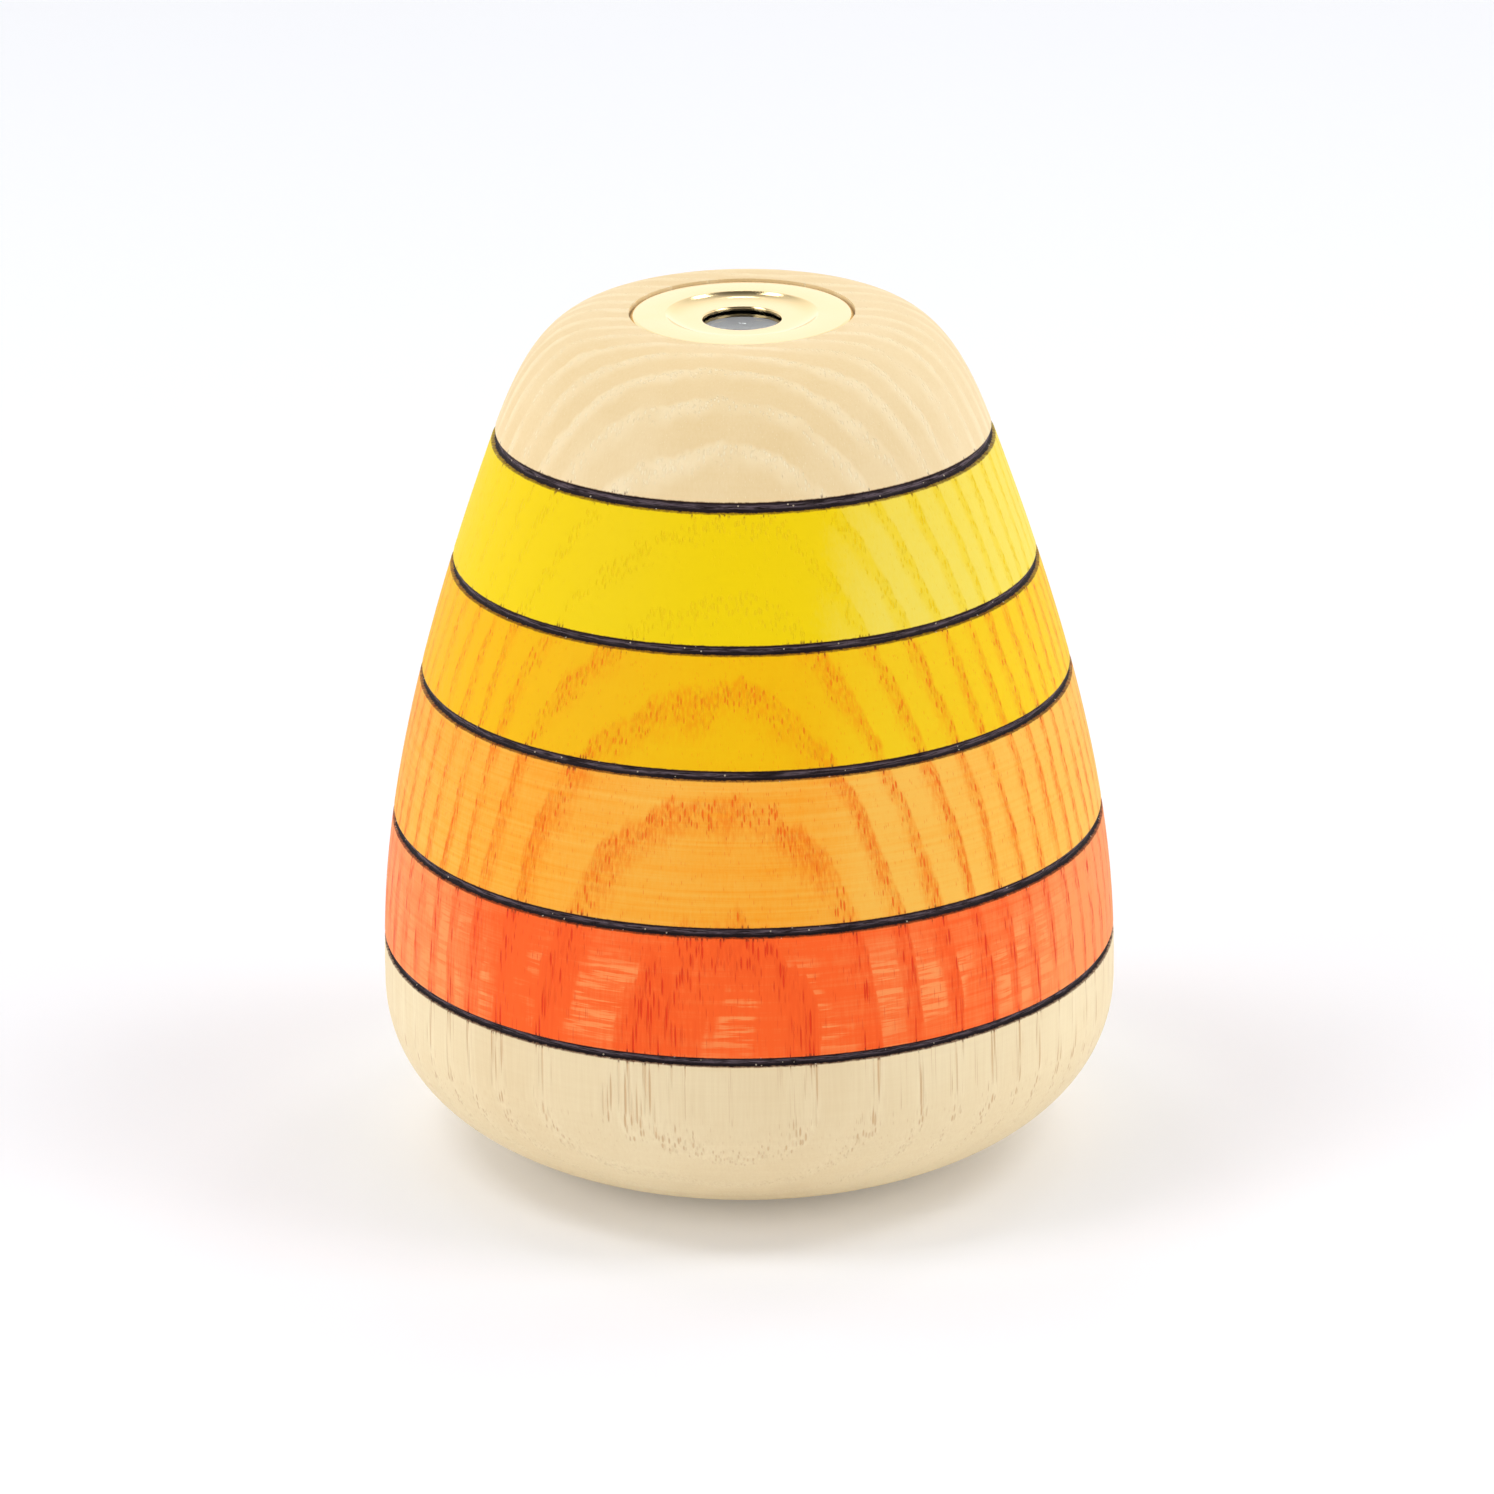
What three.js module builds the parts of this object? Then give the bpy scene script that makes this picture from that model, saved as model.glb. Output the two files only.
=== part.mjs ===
// A hand-turned ash kaleidoscope of the kind that has no beads: a pear-shaped
// wooden body with stained bands and scorched grooves, a brass eyepiece in the
// crown, and a wide lens in the foot that feeds two mirrors set in a V.
// Millimetres, +Z up. The origin is the centre of the flat foot ring.
import * as THREE from "three";

// ---- Driving dimensions --------------------------------------------------

// Turned body
const BODY_HEIGHT = 77.8;
const BODY_RADIUS = 33.5;
const WIDEST_HEIGHT = 14.8; // height of the largest radius above the foot
const SHOULDER_RADIUS = 23.6;
const SHOULDER_DROP = 14.4; // from the crown down to the shoulder
const SHOULDER_LEAN_DEG = 19.4; // lean of the flank at the shoulder, from upright
const FOOT_LAND = 3.0; // width of the flat ring that the body stands on
const CROWN_LAND = 1.8; // flat wood left round the eyepiece
const MOUTH_CHAMFER = 0.5;

// How far each curve of the outline keeps its end direction, as a share of its chord
const FOOT_CURVE = { start: 0.06, end: 0.54 };
const FLANK_CURVE = { start: 0.185, end: 0.57 };
const CROWN_CURVE = { start: 0.44, end: 0.36 };

// Coloured bands, measured down from the crown; the foot band is what remains
const CAP_BAND = 11.05;
const YELLOW_BAND = 11.7;
const AMBER_BAND = 10.45;
const ORANGE_BAND = 13.5;
const RED_BAND = 11.75;
const GROOVE_WIDTH = 1.05;
const GROOVE_DEPTH = 0.45;

// Brass eyepiece and its lens
const SIGHT_HOLE_RADIUS = 3.5;
const SIGHT_LIP = 0.4; // thickness of brass at the sight hole
const DISH_DEPTH = 0.5;
const DISH_WIDTH = 3.3; // from the sight hole out to the rim of the dish
const DISH_STEEPNESS = 5; // 1 is an even cone, more puts the fall close to the rim
const FLANGE_RADIUS = 10.0;
const FLANGE_THICKNESS = 1.6;
const FLANGE_RECESS = 0.15; // brass face below the wooden crown
const FLANGE_EDGE = 0.3;
const BARREL_WALL = 1.6;
const BARREL_LENGTH = 6.2;
const BARB_HEIGHT = 0.18;
const EYE_LENS_LEDGE = 1.95; // lens radius beyond the sight hole
const EYE_LENS_EDGE = 1.1;
const EYE_LENS_CROWN = 0.95;
const CLIP_THICKNESS = 0.6;
const CLIP_WIDTH = 0.9;
const CLIP_GROOVE = 0.45; // how far the clip reaches into the barrel
const CLIP_OPENING_DEG = 34;

// Mirrors
const MIRROR_ANGLE_DEG = 45;
const MIRROR_WIDTH = 16;
const MIRROR_THICKNESS = 1.6;
const BLACK_WALL_THICKNESS = 1.0;
const SIGHT_MARGIN = 0.15; // clear space between the sight hole's edge and a mirror
const WRAP_THICKNESS = 0.4;
const CENTRING_WALL = 0.75; // least wall of a centring ring at a prism corner
const CENTRING_HEIGHT = 4.0;
const CENTRING_INSET = 6.0; // from a prism end to its centring ring
const STOP_THICKNESS = 0.8;
const SPACER_HEIGHT = 2.0;

// Objective lens in the foot
const LENS_LEDGE = 1.25; // lens radius beyond the mirror chamber
const LENS_CURVATURE = 20;
const LENS_EDGE = 1.6;
const LENS_RECESS = 1.6; // crown of the lens above the table
const CUSHION_SECTION = 0.7; // radius of the rubber ring's section
const CUSHION_INSET = 0.35;
const RETAINER_WIDTH = 1.5;
const RETAINER_HEIGHT = 3.4;

// Clearances between pieces that touch in the real object
const PRESS_GAP = 0.1; // brass in wood, glass in its seat
const LAY_GAP = 0.1; // faces that rest on each other
const SLIP_GAP = 0.15; // prism, wrap and rings

// Facets
const TURN_SEGMENTS = 48;
const STATIONS_PER_CURVE = 9;
const ARC_STATIONS = 6;
const DISH_STATIONS = 5;

// ---- Sizes that follow from the driving dimensions -----------------------

const halfApex = THREE.MathUtils.degToRad(MIRROR_ANGLE_DEG / 2);
const apexOffset = (SIGHT_HOLE_RADIUS + SIGHT_MARGIN) / Math.sin(halfApex);
const prismCorners = glassCorners();
const wrapInside = pushOut(prismCorners, SLIP_GAP);
const wrapOutside = pushOut(wrapInside, WRAP_THICKNESS);
const ringHole = pushOut(wrapOutside, SLIP_GAP);
const ringRadius = reach(ringHole) + CENTRING_WALL;
const chamberRadius = ringRadius + SLIP_GAP;

const lensRadius = chamberRadius + LENS_LEDGE;
const lensSeatRadius = lensRadius + PRESS_GAP;
const lensRise = sagitta(LENS_CURVATURE, lensRadius);
const lensRimHeight = LENS_RECESS + lensRise;
const lensTop = lensRimHeight + LENS_EDGE;
const lensShoulder = lensTop + LAY_GAP;
const footRadius = lensSeatRadius + MOUTH_CHAMFER + FOOT_LAND;

const eyeLensRadius = SIGHT_HOLE_RADIUS + EYE_LENS_LEDGE;
const pocketRadius = eyeLensRadius + PRESS_GAP;
const barrelRadius = pocketRadius + BARREL_WALL;
const flangeTop = BODY_HEIGHT - FLANGE_RECESS;
const flangeBottom = flangeTop - FLANGE_THICKNESS;
const barrelBottom = flangeBottom - BARREL_LENGTH;
const pocketTop = flangeTop - DISH_DEPTH - SIGHT_LIP;
const crownRadius = FLANGE_RADIUS + PRESS_GAP + CROWN_LAND;

// The flat face of the eye lens bears on the lip of the sight hole, and the clip
// holds it by the rim of its curved face.
const eyeLensCurvature = curvatureOf(eyeLensRadius, EYE_LENS_CROWN);
const eyeLensTop = pocketTop - LAY_GAP;
const clipOuterRadius = pocketRadius + CLIP_GROOVE;
const clipInnerRadius = clipOuterRadius - CLIP_WIDTH;
const clipTop = eyeLensTop - eyeLensDepth(clipInnerRadius) - LAY_GAP;
const clipBottom = clipTop - CLIP_THICKNESS;

const chamberTop = barrelBottom - LAY_GAP;
const stopTop = chamberTop - LAY_GAP;
const prismTop = stopTop - STOP_THICKNESS - LAY_GAP;
const spacerBottom = lensTop + LAY_GAP;
const prismBottom = spacerBottom + SPACER_HEIGHT + LAY_GAP;
const prismLength = prismTop - prismBottom;

// ---- Materials -----------------------------------------------------------

const finish = (color, roughness, metalness = 0) =>
  new THREE.MeshStandardMaterial({ color, roughness, metalness });
const ash = finish(0xe6cfa2, 0.55);
const brass = finish(0xe2c15c, 0.18, 1);
const glass = finish(0xdfe8ea, 0.03);
const mirrorGlass = finish(0xd5dadd, 0.05, 1);
const springSteel = finish(0x9a9da0, 0.3, 1);
const blackCard = finish(0x141414, 0.85);
const blackFoam = finish(0x1e1e20, 0.95);
const blackRubber = finish(0x17171a, 0.6);

// ---- Geometry helpers ----------------------------------------------------

// Rise of a circular arc of that curvature over a half chord.
function sagitta(curvature, halfChord) {
  return curvature - Math.sqrt(curvature ** 2 - halfChord ** 2);
}

// Radius of the arc that rises by that much over a half chord.
function curvatureOf(halfChord, rise) {
  return (halfChord ** 2 + rise ** 2) / (2 * rise);
}

// Thickness of the eye lens at that radius.
function eyeLensDepth(radius) {
  return EYE_LENS_EDGE + EYE_LENS_CROWN - sagitta(eyeLensCurvature, radius);
}

function at(radius, height) {
  return new THREE.Vector2(radius, height);
}

// A body of revolution about +Z. The profile runs up the outside and down the inside.
function turned(profile) {
  return new THREE.LatheGeometry(profile, TURN_SEGMENTS).rotateX(Math.PI / 2);
}

// The same for a profile that closes on itself, such as a ring's section.
function turnedRing(profile) {
  return turned([...profile, profile[0].clone()]);
}

// A flat piece with an outline and an optional hole, rising from z = 0.
function plate(outline, hole, height) {
  const shape = new THREE.Shape(outline);
  if (hole) shape.holes.push(new THREE.Path(hole));
  return new THREE.ExtrudeGeometry(shape, {
    depth: height,
    bevelEnabled: false,
  });
}

function circle(radius) {
  return Array.from({ length: TURN_SEGMENTS }, (_, i) => {
    const turn = (2 * Math.PI * i) / TURN_SEGMENTS;
    return at(radius * Math.cos(turn), radius * Math.sin(turn));
  });
}

// A convex anticlockwise outline with every side moved out by that distance.
function pushOut(corners, distance) {
  return corners.map((corner, i) => {
    const before = corners[(i + corners.length - 1) % corners.length];
    const after = corners[(i + 1) % corners.length];
    const into = corner.clone().sub(before).normalize();
    const out = after.clone().sub(corner).normalize();
    const mitre = at(into.y + out.y, -into.x - out.x);
    const stretch = distance / (1 + into.dot(out));
    return corner.clone().addScaledVector(mitre, stretch);
  });
}

function reach(corners) {
  return Math.max(...corners.map((corner) => corner.length()));
}

function piece(name, geometry, material, height = 0) {
  const mesh = new THREE.Mesh(geometry, material);
  mesh.name = name;
  mesh.position.z = height;
  return mesh;
}

// ---- Turned body ---------------------------------------------------------

// A cubic curve that leaves one end and reaches the other along given directions.
function easedCurve(start, leaving, end, arriving, share) {
  const chord = start.distanceTo(end);
  return new THREE.CubicBezierCurve(
    start,
    start.clone().addScaledVector(leaving, share.start * chord),
    end.clone().addScaledVector(arriving, -share.end * chord),
    end,
  );
}

// The outside of the body from the foot ring to the crown.
function bodyOutline() {
  const lean = THREE.MathUtils.degToRad(SHOULDER_LEAN_DEG);
  const flank = at(-Math.sin(lean), Math.cos(lean));
  const foot = at(footRadius, 0);
  const belly = at(BODY_RADIUS, WIDEST_HEIGHT);
  const shoulder = at(SHOULDER_RADIUS, BODY_HEIGHT - SHOULDER_DROP);
  const crown = at(crownRadius, BODY_HEIGHT);
  const outline = new THREE.CurvePath();
  outline.add(easedCurve(foot, at(1, 0), belly, at(0, 1), FOOT_CURVE));
  outline.add(easedCurve(belly, at(0, 1), shoulder, flank, FLANK_CURVE));
  outline.add(easedCurve(shoulder, flank, crown, at(-1, 0), CROWN_CURVE));
  return outline;
}

// Distance along the outline at which it reaches that height.
function stationAt(outline, height) {
  const length = outline.getLength();
  let low = 0;
  let high = length;
  while (high - low > 1e-4) {
    const middle = (low + high) / 2;
    if (outline.getPointAt(middle / length).y < height) low = middle;
    else high = middle;
  }
  return low;
}

function grooveHeights() {
  const bands = [CAP_BAND, YELLOW_BAND, AMBER_BAND, ORANGE_BAND, RED_BAND];
  let height = BODY_HEIGHT;
  return bands.map((band) => (height -= band));
}

// Stations that divide each curve of the outline evenly, ends included.
function plainStations(outline) {
  const ends = [0, ...outline.getCurveLengths()];
  return ends.slice(1).flatMap((end, k) => {
    const start = ends[k];
    const first = k === 0 ? 0 : 1;
    return Array.from({ length: STATIONS_PER_CURVE + 1 - first }, (_, i) => {
      const share = (i + first) / STATIONS_PER_CURVE;
      return start + (end - start) * share;
    });
  });
}

// The outline with a scorched groove cut in at each band edge.
function groovedOutline() {
  const outline = bodyOutline();
  const length = outline.getLength();
  const grooves = grooveHeights().map((height) => stationAt(outline, height));
  const cuts = grooves.flatMap((middle) => [
    { station: middle - GROOVE_WIDTH / 2, depth: 0 },
    { station: middle, depth: GROOVE_DEPTH },
    { station: middle + GROOVE_WIDTH / 2, depth: 0 },
  ]);
  const plain = plainStations(outline)
    .filter((station) =>
      grooves.every((middle) => Math.abs(station - middle) > GROOVE_WIDTH),
    )
    .map((station) => ({ station, depth: 0 }));
  return [...plain, ...cuts]
    .sort((a, b) => a.station - b.station)
    .map(({ station, depth }) => {
      const along = outline.getTangentAt(station / length);
      return outline
        .getPointAt(station / length)
        .addScaledVector(at(-along.y, along.x), depth);
    });
}

function turnedBody() {
  const seatRadius = FLANGE_RADIUS + PRESS_GAP;
  const seatFloor = flangeBottom - LAY_GAP;
  const boreRadius = barrelRadius + PRESS_GAP;
  const inside = [
    at(seatRadius, BODY_HEIGHT),
    at(seatRadius, seatFloor),
    at(boreRadius, seatFloor),
    at(boreRadius, chamberTop),
    at(chamberRadius, chamberTop),
    at(chamberRadius, lensShoulder),
    at(lensSeatRadius, lensShoulder),
    at(lensSeatRadius, MOUTH_CHAMFER),
    at(lensSeatRadius + MOUTH_CHAMFER, 0),
  ];
  return piece("turned_body", turnedRing([...groovedOutline(), ...inside]), ash);
}

// ---- Eyepiece ------------------------------------------------------------

// Shallow barbs that bite into the wood, from the barrel's end up to the flange.
function barbs(radius, bottom, height, count) {
  const pitch = height / count;
  return Array.from({ length: count }, (_, i) => [
    at(radius - BARB_HEIGHT, bottom + i * pitch),
    at(radius, bottom + (i + 1) * pitch - BARB_HEIGHT),
  ]).flat();
}

// The dish from its rim inwards: steep at first, then almost flat.
function dish(rimRadius, lipRadius) {
  return Array.from({ length: DISH_STATIONS + 1 }, (_, i) => {
    const across = (i / DISH_STATIONS) ** 1.5;
    const fall = 1 - (1 - across) ** DISH_STEEPNESS;
    return at(
      rimRadius + (lipRadius - rimRadius) * across,
      flangeTop - DISH_DEPTH * fall,
    );
  });
}

function eyepieceRing() {
  const dishRadius = SIGHT_HOLE_RADIUS + DISH_WIDTH;
  const lipRound = SIGHT_LIP / 4;
  const clipSeat = clipOuterRadius + PRESS_GAP;
  return turnedRing([
    ...barbs(barrelRadius, barrelBottom, BARREL_LENGTH, 3),
    at(barrelRadius - BARB_HEIGHT, flangeBottom),
    at(FLANGE_RADIUS - FLANGE_EDGE / 2, flangeBottom),
    at(FLANGE_RADIUS, flangeBottom + FLANGE_EDGE / 2),
    at(FLANGE_RADIUS, flangeTop - FLANGE_EDGE),
    at(FLANGE_RADIUS - FLANGE_EDGE, flangeTop),
    ...dish(dishRadius, SIGHT_HOLE_RADIUS + lipRound),
    at(SIGHT_HOLE_RADIUS, flangeTop - DISH_DEPTH - lipRound),
    at(SIGHT_HOLE_RADIUS, pocketTop),
    at(pocketRadius, pocketTop),
    at(pocketRadius, clipTop + LAY_GAP),
    at(clipSeat, clipTop + LAY_GAP),
    at(clipSeat, clipBottom - LAY_GAP),
    at(pocketRadius, clipBottom - LAY_GAP),
    at(pocketRadius, barrelBottom),
  ]);
}

// A lens with one flat face: the curved face rises from its edge towards +Z.
function planoConvex(radius, curvature, edge) {
  const halfAngle = Math.asin(radius / curvature);
  const crown = edge + sagitta(curvature, radius);
  const face = Array.from({ length: ARC_STATIONS }, (_, i) => {
    const angle = halfAngle * (1 - i / ARC_STATIONS);
    const fall = curvature * (1 - Math.cos(angle));
    return at(curvature * Math.sin(angle), crown - fall);
  });
  return turned([at(0, 0), at(radius, 0), ...face, at(0, crown)]);
}

// An open spring ring, cut through where its two ends face each other.
function snapRing(innerRadius, outerRadius, openingDeg, thickness) {
  const opening = THREE.MathUtils.degToRad(openingDeg);
  const shape = new THREE.Shape();
  shape.absarc(0, 0, outerRadius, opening / 2, 2 * Math.PI - opening / 2, false);
  shape.absarc(0, 0, innerRadius, 2 * Math.PI - opening / 2, opening / 2, true);
  return new THREE.ExtrudeGeometry(shape, {
    depth: thickness,
    bevelEnabled: false,
    curveSegments: TURN_SEGMENTS / 2,
  });
}

// The clip's opening faces +Y, away from the apex of the mirrors.
function eyeLensClip() {
  const ring = snapRing(
    clipInnerRadius,
    clipOuterRadius,
    CLIP_OPENING_DEG,
    CLIP_THICKNESS,
  );
  ring.rotateZ(Math.PI / 2);
  return piece("eye_lens_clip", ring, springSteel, clipBottom);
}

function eyeLens() {
  const lens = planoConvex(eyeLensRadius, eyeLensCurvature, EYE_LENS_EDGE);
  lens.rotateX(Math.PI);
  return piece("eye_lens", lens, glass, eyeLensTop);
}

function eyepiece() {
  const group = new THREE.Group();
  group.add(
    piece("eyepiece_ring", eyepieceRing(), brass),
    eyeLens(),
    eyeLensClip(),
  );
  return group;
}

// ---- Mirror prism --------------------------------------------------------

// The outside of the two mirrors and the black wall, anticlockwise, apex towards -Y.
function glassCorners() {
  const along = at(Math.sin(halfApex), Math.cos(halfApex));
  const outward = at(Math.cos(halfApex), -Math.sin(halfApex));
  const apex = at(0, -apexOffset);
  const near = apex.clone().addScaledVector(outward, MIRROR_THICKNESS);
  const far = near.clone().addScaledVector(along, MIRROR_WIDTH);
  const back = blackWallBottom() + BLACK_WALL_THICKNESS;
  return [
    near,
    far,
    at(far.x, back),
    at(-far.x, back),
    at(-far.x, far.y),
    at(-near.x, near.y),
  ];
}

// Where the black wall starts, just past the ends of the mirrors.
function blackWallBottom() {
  return MIRROR_WIDTH * Math.cos(halfApex) - apexOffset + LAY_GAP;
}

// A mirror strip, silvered on the face towards the sight line; side is 1 or -1.
function mirror(name, side) {
  const width = MIRROR_WIDTH - SLIP_GAP;
  const strip = new THREE.BoxGeometry(MIRROR_THICKNESS, width, prismLength);
  strip.translate(
    (side * MIRROR_THICKNESS) / 2,
    SLIP_GAP + width / 2,
    prismLength / 2,
  );
  const mesh = piece(name, strip, mirrorGlass);
  mesh.rotation.z = -side * halfApex;
  mesh.position.y = -apexOffset;
  return mesh;
}

function blackWall() {
  const width = 2 * prismCorners[1].x;
  const strip = new THREE.BoxGeometry(width, BLACK_WALL_THICKNESS, prismLength);
  strip.translate(0, BLACK_WALL_THICKNESS / 2, prismLength / 2);
  const mesh = piece("black_wall", strip, blackCard);
  mesh.position.y = blackWallBottom();
  return mesh;
}

// The triangle between the reflecting faces.
function sightOpening() {
  const apex = at(0, -apexOffset);
  const halfBack = MIRROR_WIDTH * Math.sin(halfApex);
  const back = MIRROR_WIDTH * Math.cos(halfApex) - apexOffset;
  return [apex, at(halfBack, back), at(-halfBack, back)];
}

function mirrorPrism() {
  const group = new THREE.Group();
  const ring = (name, height) =>
    piece(
      name,
      plate(circle(ringRadius), ringHole, CENTRING_HEIGHT),
      blackFoam,
      height,
    );
  group.add(
    mirror("mirror_right", 1),
    mirror("mirror_left", -1),
    blackWall(),
    piece("prism_wrap", plate(wrapOutside, wrapInside, prismLength), blackCard),
    ring("lower_centring_ring", CENTRING_INSET),
    ring(
      "upper_centring_ring",
      prismLength - CENTRING_INSET - CENTRING_HEIGHT,
    ),
  );
  group.position.z = prismBottom;
  return group;
}

// ---- Discs and rings at the ends of the prism ----------------------------

function eyeStop() {
  const holeRadius = SIGHT_HOLE_RADIUS + SIGHT_MARGIN;
  return piece(
    "eye_stop_disc",
    plate(circle(ringRadius), circle(holeRadius), STOP_THICKNESS),
    blackCard,
    stopTop - STOP_THICKNESS,
  );
}

function lensSpacer() {
  return piece(
    "lens_spacer",
    plate(circle(ringRadius), sightOpening(), SPACER_HEIGHT),
    blackFoam,
    spacerBottom,
  );
}

// ---- Objective in the foot ----------------------------------------------

function objectiveLens() {
  const lens = planoConvex(lensRadius, LENS_CURVATURE, LENS_EDGE);
  lens.rotateX(Math.PI);
  return piece("objective_lens", lens, glass, lensTop);
}

// Centre of the rubber ring's section, resting under the curved rim of the lens.
function cushionCentre() {
  const radius = lensRadius - CUSHION_INSET;
  const clear = LENS_CURVATURE + CUSHION_SECTION + LAY_GAP;
  const sphereHeight = LENS_RECESS + LENS_CURVATURE;
  return at(radius - CUSHION_SECTION / 2, 0).setY(
    sphereHeight - Math.sqrt(clear ** 2 - (radius - CUSHION_SECTION / 2) ** 2),
  );
}

function lensCushion() {
  const centre = cushionCentre();
  const ring = new THREE.TorusGeometry(
    centre.x,
    CUSHION_SECTION,
    2 * ARC_STATIONS,
    TURN_SEGMENTS,
  );
  return piece("lens_cushion_ring", ring, blackRubber, centre.y);
}

function retainingRing() {
  const outer = lensSeatRadius - PRESS_GAP;
  const inner = outer - RETAINER_WIDTH - CUSHION_SECTION;
  const top = cushionCentre().y - CUSHION_SECTION - LAY_GAP;
  const bottom = top - RETAINER_HEIGHT;
  return piece(
    "objective_retaining_ring",
    turnedRing([
      at(outer - BARB_HEIGHT, bottom),
      ...barbs(outer, bottom + BARB_HEIGHT, RETAINER_HEIGHT - BARB_HEIGHT, 2),
      at(outer - BARB_HEIGHT, top),
      at(inner, top),
      at(inner, bottom + RETAINER_WIDTH / 2),
      at(inner + RETAINER_WIDTH / 2, bottom),
    ]),
    brass,
  );
}

// ---- Assembly ------------------------------------------------------------

const kaleidoscope = new THREE.Group();
kaleidoscope.add(
  turnedBody(),
  eyepiece(),
  eyeStop(),
  mirrorPrism(),
  lensSpacer(),
  objectiveLens(),
  lensCushion(),
  retainingRing(),
);

export default kaleidoscope;
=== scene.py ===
"""The looks of a turned ash kaleidoscope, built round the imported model.

The wood, the brass, the glass and the rubber ring are made again as fine meshes of
the same size. The other CAD nodes stay, with rounded edges and their own materials.
Metres, +Z up, with the origin at the centre of the foot.
"""
import math

import bmesh
import bpy
import numpy as np
from mathutils import Matrix, Vector, noise


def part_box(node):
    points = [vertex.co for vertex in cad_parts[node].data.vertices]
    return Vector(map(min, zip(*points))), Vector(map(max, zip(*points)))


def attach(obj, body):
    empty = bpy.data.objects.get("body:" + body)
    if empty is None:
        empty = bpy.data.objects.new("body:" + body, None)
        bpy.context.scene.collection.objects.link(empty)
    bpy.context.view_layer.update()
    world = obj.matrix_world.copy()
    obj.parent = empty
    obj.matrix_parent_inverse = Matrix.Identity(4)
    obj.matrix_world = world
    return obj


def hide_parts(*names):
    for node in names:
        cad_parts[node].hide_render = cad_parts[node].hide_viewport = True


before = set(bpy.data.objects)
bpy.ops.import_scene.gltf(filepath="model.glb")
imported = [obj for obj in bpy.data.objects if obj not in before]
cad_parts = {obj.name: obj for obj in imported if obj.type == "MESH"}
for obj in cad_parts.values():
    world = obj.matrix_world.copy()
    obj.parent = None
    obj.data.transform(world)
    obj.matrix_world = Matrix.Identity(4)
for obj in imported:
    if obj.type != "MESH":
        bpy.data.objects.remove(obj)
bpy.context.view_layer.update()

MM = 0.001

# ---- Turned body, in millimetres -------------------------------------------

BODY_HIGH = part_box("turned_body")[1]
BODY_HEIGHT = BODY_HIGH.z / MM
BODY_RADIUS = BODY_HIGH.x / MM
WIDEST_HEIGHT = 14.8
SHOULDER_RADIUS = 23.6
SHOULDER_DROP = 14.4
SHOULDER_LEAN = math.radians(19.4)
FOOT_RADIUS = 16.77
CROWN_RADIUS = 11.9
SEAT_RADIUS = 10.1
SEAT_FLOOR = 75.95
BARREL_BORE = 7.25
CHAMBER_RADIUS = 11.92
CHAMBER_TOP = 69.75
LENS_SEAT_RADIUS = 13.27
LENS_SHOULDER = 8.25
MOUTH_CHAMFER = 0.5
BORE_EDGE = 0.12

# Each curve keeps its end directions for these shares of its chord
FOOT_CURVE = (0.06, 0.54)
FLANK_CURVE = (0.185, 0.57)
CROWN_CURVE = (0.44, 0.36)

GROOVE_HEIGHTS = (19.35, 31.1, 44.6, 55.05, 66.75)
GROOVE_WIDTHS = (0.78, 0.86, 0.86, 0.86, 0.96)
GROOVE_DEPTH = 0.42
GROOVE_FLOOR = 0.86  # the floor ends here, as a share of the half width
GROOVE_LIP = 1.12  # and the groove ends here
GROOVE_ROUND = 0.45  # how much shallower the floor is at its ends, as a share
GROOVE_WANDER = 0.09

# ---- Brass and glass, in millimetres ----------------------------------------

DISH_RADIUS = 6.8
DISH_DEPTH = 0.5
DISH_STEEPNESS = 5
LIP_BOTTOM = 76.74
BARREL_INSIDE = 6.4
EYEPIECE_EDGE = 0.16
RETAINER_EDGE = 0.12
EYE_LENS_RIM = 1.1
OBJECTIVE_RIM = 1.6
LENS_CHAMFER = 0.12
NEAR = 0.01  # how close counts as on a line, for a point of the CAD's

# ---- Fineness of the meshes --------------------------------------------------

CURVE_STEPS = 240  # steps along each of the outline's curves
OUTLINE_STEP = 0.55  # millimetres between the body's rings of points, along its outline
GROOVE_STEPS = 14  # rings of points on either side of a groove's middle
BODY_SEGMENTS = 300
EYEPIECE_SEGMENTS = 200
RING_SEGMENTS = 160
LENS_SEGMENTS = 128
DISH_STEPS = 16
LENS_STEPS = 32
SECTION_STEPS = 24  # round the rubber ring's section

# ---- Wood ------------------------------------------------------------------

RING_SPACING = 2.43
RING_START = 0.3
RING_TURN = math.radians(8)
RING_DRIFT = 2.5  # how far the rings wander, over the length of the body
RING_BEND = 1.8  # and within a few rings
RING_ROUGH = 0.9  # and from pore to pore
PORE_WANDER = 3.0  # how far the pores wander sideways with the rings
LONG_PORES_BELOW = 31.0  # where the surface runs along the pores
LONG_PORES_STRETCH = 0.62

# How often each pattern repeats in a millimetre, across the grain twice and along it
DRIFT_RATES = (0.036, 0.036, 0.012)
BEND_RATES = (0.10, 0.10, 0.028)
ROUGH_RATES = (0.7, 0.7, 0.12)
PORE_RATES = (3.7, 3.7, 0.33)
HAIR_RATES = (5.5, 5.5, 0.16)
FIBRE_RATES = (5.0, 5.0, 0.16)
BLOTCH_RATES = (0.07, 0.07, 0.05)
PATCH_RATES = (0.24, 0.24, 0.13)
LINE_RATES = (0.05, 0.05, 2.6)
STROKE_RATES = (0.2, 0.2, 2.8)
RAGGED_RATES = (2.2, 2.2, 0.7)
SOOT_RATES = (0.5, 0.5, 9.0)
SPECK_RATES = (2.1, 2.1, 2.1)

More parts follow.
